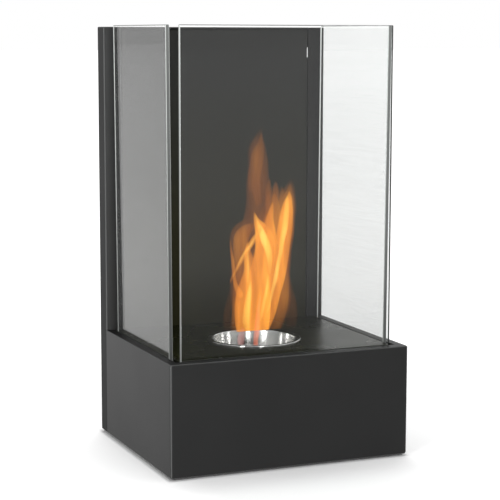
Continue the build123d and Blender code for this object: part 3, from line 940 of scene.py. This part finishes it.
def felted_pad():
    """A lumpy tapered pad with fibres lying on it, all inside the given radii and height."""
    tree, start, finish = start_group("felted pad", [
        ("Foot Radius", "NodeSocketFloat", 0.04),
        ("Top Radius", "NodeSocketFloat", 0.045),
        ("Height", "NodeSocketFloat", 0.04),
        ("Place", "NodeSocketVector", (0.0, 0.0, 0.0)),
        ("Fibres Per Area", "NodeSocketFloat", 90000.0),
        ("Fibre Length", "NodeSocketFloat", 0.009),
        ("Fibre Radius", "NodeSocketFloat", 0.00012),
        ("Lumps", "NodeSocketFloat", 0.0022),
        ("Seed", "NodeSocketInt", 5),
        ("Material", "NodeSocketMaterial", None),
    ])
    place = add(tree, "GeometryNodeInputPosition").outputs["Position"]
    parts = split(tree, place)

    pad = add(
        tree, "GeometryNodeMeshCone", Vertices=96, Side_Segments=18, Fill_Segments=14,
        Radius_Bottom=start["Foot Radius"], Radius_Top=start["Top Radius"], Depth=start["Height"],
    ).outputs["Mesh"]
    normal = add(tree, "GeometryNodeInputNormal").outputs["Normal"]
    lumps = add(tree, "ShaderNodeTexNoise", Vector=place, Scale=lump_scale, Detail=3.0)
    dent = scaled(tree, normal, product(tree, lumps.outputs["Fac"], start["Lumps"], -1.0))
    pad = run(tree, "GeometryNodeSetPosition", pad, Offset=dent)

    low_end = join(tree, calc(tree, "MULTIPLY", start["Fibre Length"], -0.5), 0.0, 0.0)
    high_end = join(tree, calc(tree, "MULTIPLY", start["Fibre Length"], 0.5), 0.0, 0.0)
    line = add(tree, "GeometryNodeCurvePrimitiveLine", Start=low_end, End=high_end)
    fibre = run(tree, "GeometryNodeResampleCurve", line.outputs["Curve"], Count=6)
    roots = add(
        tree, "GeometryNodeDistributePointsOnFaces",
        Mesh=pad, Density=start["Fibres Per Area"], Seed=start["Seed"],
    )
    any_turn = add(
        tree, "FunctionNodeRandomValue", data_type="FLOAT_VECTOR",
        Max=(0.0, 0.0, math.tau), Seed=start["Seed"],
    )
    turned = add(
        tree, "FunctionNodeRotateRotation", rotation_space="LOCAL",
        Rotation=roots.outputs["Rotation"], Rotate_By=any_turn.outputs["Value"],
    )
    strewn = run(
        tree, "GeometryNodeInstanceOnPoints", roots.outputs["Points"],
        Instance=fibre, Rotation=turned.outputs["Rotation"],
    )
    strewn = run(tree, "GeometryNodeRealizeInstances", strewn)
    wander = scaled(tree, centred_noise(tree, place, Scale=wander_scale), wander_reach)
    strewn = run(tree, "GeometryNodeSetPosition", strewn, Offset=wander)
    profile = add(
        tree, "GeometryNodeCurvePrimitiveCircle", Resolution=3, Radius=start["Fibre Radius"]
    )
    tubes = run(
        tree, "GeometryNodeCurveToMesh", strewn, Profile_Curve=profile.outputs["Curve"]
    )
    both = add(tree, "GeometryNodeJoinGeometry")
    for geometry in (tubes, pad):
        give(tree, both.inputs[0], geometry)

    flat = join(tree, parts["X"], parts["Y"], 0.0)
    limit = ramp(
        tree, parts["Z"], start["Foot Radius"], start["Top Radius"], 0.0, start["Height"]
    )
    shrink = calc(tree, "DIVIDE", limit, vector_calc(tree, "LENGTH", flat))
    held = split(tree, scaled(tree, flat, calc(tree, "MINIMUM", shrink, 1.0)))
    level = add(tree, "ShaderNodeClamp", Value=parts["Z"], Max=start["Height"]).outputs["Result"]
    kept = join(tree, held["X"], held["Y"], level)
    wool = run(tree, "GeometryNodeSetPosition", both.outputs["Geometry"], Position=kept)
    wool = run(tree, "GeometryNodeTransform", wool, Translation=start["Place"])
    wool = run(tree, "GeometryNodeSetMaterial", wool, Material=start["Material"])
    give(tree, finish, wool)
    return tree


felt = felted_pad()
print("the wool's group has", len(felt.nodes), "nodes")


# %% wool pad
wool_taper = math.radians(8.0)
wool_low, wool_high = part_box("burner_wool")
wool_height = wool_high[2] - wool_low[2]
wool_top = (wool_high[0] - wool_low[0]) / 2
wool_foot = wool_top - wool_height * math.tan(wool_taper)
wool_place = ((wool_low[0] + wool_high[0]) / 2, (wool_low[1] + wool_high[1]) / 2, wool_low[2])
empty = bpy.data.objects.new("wool", bpy.data.meshes.new("wool"))
scene.collection.objects.link(empty)
wool = apply_group(
    empty, felt, "wool_felt",
    foot_radius=wool_foot, top_radius=wool_top, height=wool_height,
    place=wool_place, material=finishes["ceramic_wool"],
)
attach(wool, "burner")
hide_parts("burner_wool")
print(
    "wool pad", round(wool_top * 1000, 1), "mm radius at the top,",
    round(wool_height * 1000, 1), "mm high",
)

# %% [markdown]
# ## Studio
# The photograph has a white sweep: the floor and the background are the same white, and the
# object keeps a soft shadow under it. A white that strong would flood the object with light, so
# the white is only what the camera sees, directly or through glass. The light that falls on the
# object, and that mirrors show, comes from a dimmer world, brighter towards the back right, and
# from a few soft lamps. The upright strips among them are what the cup mirrors as bands.

# %% world
bright_side = Vector((0.8, 0.5, 0.35)).normalized()
world_middle = 0.52
world_swing = 0.4
world_least = 0.34
seen_through_glass = 1.25


def studio_world():
    """White to the camera; as a light and in mirrors bright behind the object, dim in front."""
    world = bpy.data.worlds.new("studio")
    world.use_nodes = True
    tree = world.node_tree
    path = light_path(tree)
    side = vector_calc(tree, "DOT_PRODUCT", coords(tree, "Generated"), bright_side)
    slope = calc(tree, "MULTIPLY_ADD", side, world_swing, world_middle)
    light = calc(tree, "MAXIMUM", slope, world_least)
    straight = add(
        tree, "ShaderNodeMath", path["Is Transmission Ray"], path["Glossy Depth"],
        operation="SUBTRACT", use_clamp=True,
    ).outputs["Value"]
    past_glass = blend(tree, straight, light, seen_through_glass, "FLOAT")
    shown = blend(tree, path["Is Camera Ray"], past_glass, 1.0, "FLOAT")
    feed(tree, tree.nodes["Background"], Color=grey(1.0), Strength=shown)
    return world


scene.world = studio_world()
print("world level", world_least, "to", world_middle + world_swing)

# %% lamps
burner_middle = Vector((0.0, -0.012, 0.12))
strip_distance = 1.9


def softbox(name, place, target, width, height, watts):
    """A rectangular lamp that looks at a point. The camera doesn't see it."""
    data = bpy.data.lights.new(name, "AREA")
    data.shape = "RECTANGLE"
    data.size = width
    data.size_y = height
    data.energy = watts
    lamp = bpy.data.objects.new(name, data)
    lamp.location = place
    lamp.rotation_euler = (Vector(target) - Vector(place)).to_track_quat("-Z", "Y").to_euler()
    lamp.visible_camera = False
    scene.collection.objects.link(lamp)
    return lamp


def strip_at(name, heading, width, height, watts, rise=8.0):
    """An upright strip lamp round the burner, at a compass heading from +Y to the right and at a
    rise above the burner, both in degrees."""
    turn = math.radians(heading)
    way = Vector((math.sin(turn), math.cos(turn), math.tan(math.radians(rise))))
    place = burner_middle + way * strip_distance
    return softbox(name, place, burner_middle, width, height, watts)


lamps = [
    softbox("rear softbox", (0.5, 1.4, 2.6), (0.0, 0.0, 0.1), 1.7, 1.7, 31.0),
    softbox("left softbox", (-2.2, -0.2, 1.3), (0.0, 0.0, 0.2), 1.4, 1.4, 2.5),
    strip_at("left-front strip", 232.0, 0.28, 1.2, 15.0, rise=12.0),
    strip_at("front strip", 186.0, 0.26, 1.0, 6.5, rise=11.0),
    strip_at("right-front strip", 127.0, 0.05, 0.7, 0.3),
    strip_at("left-rear strip", 301.0, 0.15, 0.7, 0.4),
]
print(len(lamps), "lamps,", sum(lamp.data.energy for lamp in lamps), "W")

# %% [markdown]
# ## Floor
# The floor is a plain pale sheet. What the camera sees of it is lifted to white with a little light
# of its own, by its distance from the burner; the lift is weaker near the object, a painted shade
# that deepens the soft shadow under it. The lift stops just short of the object, so the gap under
# its feet gets a painted dark contact shadow, and it is stronger on the left, a painted light where
# the shadow ends sooner. Through the panes and in mirrors the floor has painted levels of its own,
# because the photograph shows it greyer there.

# %% floor
floor_reach = 40.0
footprint = Vector((cad_box[1][0], cad_box[1][1], 0.0))
painted_contact_shadow_gap = (0.0015, 0.004)  # how far from the footprint the lift begins and is whole; nearer in, a painted contact shadow
# A painted light that lifts the floor on the left, where the shadow ends sooner.
painted_left_lift = 0.13
left_zone = (-0.145, -0.1)
to_the_back = (-math.sqrt(0.5), math.sqrt(0.5), 0.0)
# The camera's lift by distance, weaker near the object: a painted shade round it.
lens_steps = {0.12: 0.17, 0.163: 0.24, 0.24: 0.28, 0.55: 0.33, 1.1: 0.44, 2.8: 0.64, 8.0: 0.8}
# What mirrors see of the floor, by place: a painted reflection.
painted_reflection_steps = {
    -4.0: 0.5, -2.5: 0.53, -1.3: 0.5, -0.9: 0.3, -0.5: 0.2, 0.1: 0.5,
    0.6: 0.68, 0.9: 0.79, 1.2: 0.84, 3.0: 0.79, 30.0: 0.68,
}
# What rays through glass see of the floor, by distance: painted levels.
painted_through_glass_steps = {
    0.2: 0.06, 0.7: 0.135, 1.15: 0.185, 1.7: 0.245, 2.45: 0.385, 3.5: 0.545,
    4.7: 0.63, 6.4: 0.655, 9.5: 0.68, 13.4: 0.715, 45.0: 0.715,
}


def white_floor():
    """A pale diffuse floor with a light of its own for the camera and for rays through glass; for
    the camera it is weaker near the object and nil at its footprint and just past it, a painted
    shade and a painted contact shadow. Mirrors see only a painted reflection, a glow of its own by
    the place from the front right to the back left."""
    material, tree = bare_material("white floor")
    path = light_path(tree)
    spot = coords(tree)
    away = vector_calc(tree, "LENGTH", spot)
    past = vector_calc(tree, "SUBTRACT", vector_calc(tree, "ABSOLUTE", spot), footprint)
    past_x, past_y, _ = split(tree, past)
    # No lift at the footprint and just past it: a painted contact shadow.
    clear = ramp(tree, calc(tree, "MAXIMUM", past_x, past_y), 0.0, 1.0, *painted_contact_shadow_gap)
    # More lift on the left: a painted light.
    painted_light_on_left = ramp(tree, split(tree, spot)["X"], painted_left_lift, 0.0, *left_zone)
    lifted = calc(tree, "ADD", steps(tree, away, lens_steps), painted_light_on_left)
    to_lens = product(tree, lifted, clear)
    # Through glass the floor shows painted levels by distance.
    to_glass = product(tree, steps(tree, away, painted_through_glass_steps), path["Is Transmission Ray"])
    own_light = blend(tree, path["Is Camera Ray"], to_glass, to_lens, "FLOAT")
    plain = add(tree, "ShaderNodeBsdfDiffuse", Color=grey(0.9))
    glow = add(tree, "ShaderNodeEmission", Strength=own_light)
    # Mirrors see a painted reflection of the floor, by place.
    backward = vector_calc(tree, "DOT_PRODUCT", spot, to_the_back)
    painted_reflection = add(
        tree, "ShaderNodeEmission", Strength=steps(tree, backward, painted_reflection_steps)
    )
    lit = add_shaders(tree, plain, glow)
    show(tree, mix_shaders(tree, path["Glossy Depth"], lit, painted_reflection))
    return material


floor_mesh = bpy.data.meshes.new("floor")
corners = [(x * floor_reach, y * floor_reach, 0.0) for x, y in ((-1, -1), (1, -1), (1, 1), (-1, 1))]
floor_mesh.from_pydata(corners, [], [(0, 1, 2, 3)])
floor_mesh.materials.append(white_floor())
floor = bpy.data.objects.new("floor", floor_mesh)
scene.collection.objects.link(floor)
print("floor", 2 * floor_reach, "m wide")
